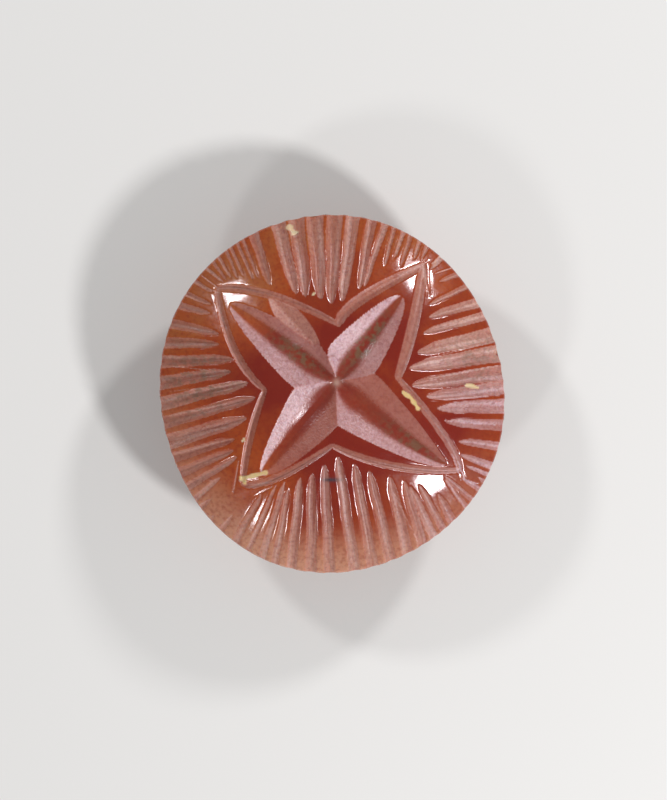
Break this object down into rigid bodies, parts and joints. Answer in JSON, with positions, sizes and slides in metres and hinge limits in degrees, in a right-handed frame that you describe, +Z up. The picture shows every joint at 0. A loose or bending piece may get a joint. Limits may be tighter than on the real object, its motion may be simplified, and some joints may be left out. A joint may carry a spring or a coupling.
{
  "type": "stamp seal",
  "caption": "Lens-shaped carved stone seal, bored across for a string, with a sunken four-petalled star and rays on its domed face.",
  "frame": {"origin": "middle of the small flat on the back that the stone rests on, at the bottom centre of its box", "axes": "+Z up through the middle of the carved face, +X towards the right of the picture and along the string hole, +Y towards its top"},
  "size_m": [0.0173, 0.018, 0.0068],
  "materials": {
    "carnelian": "polished ridges, matte wheel-ground cuts"
  },
  "bodies": {
    "root": {"seal_stone": "carnelian"}
  },
  "joints": []
}
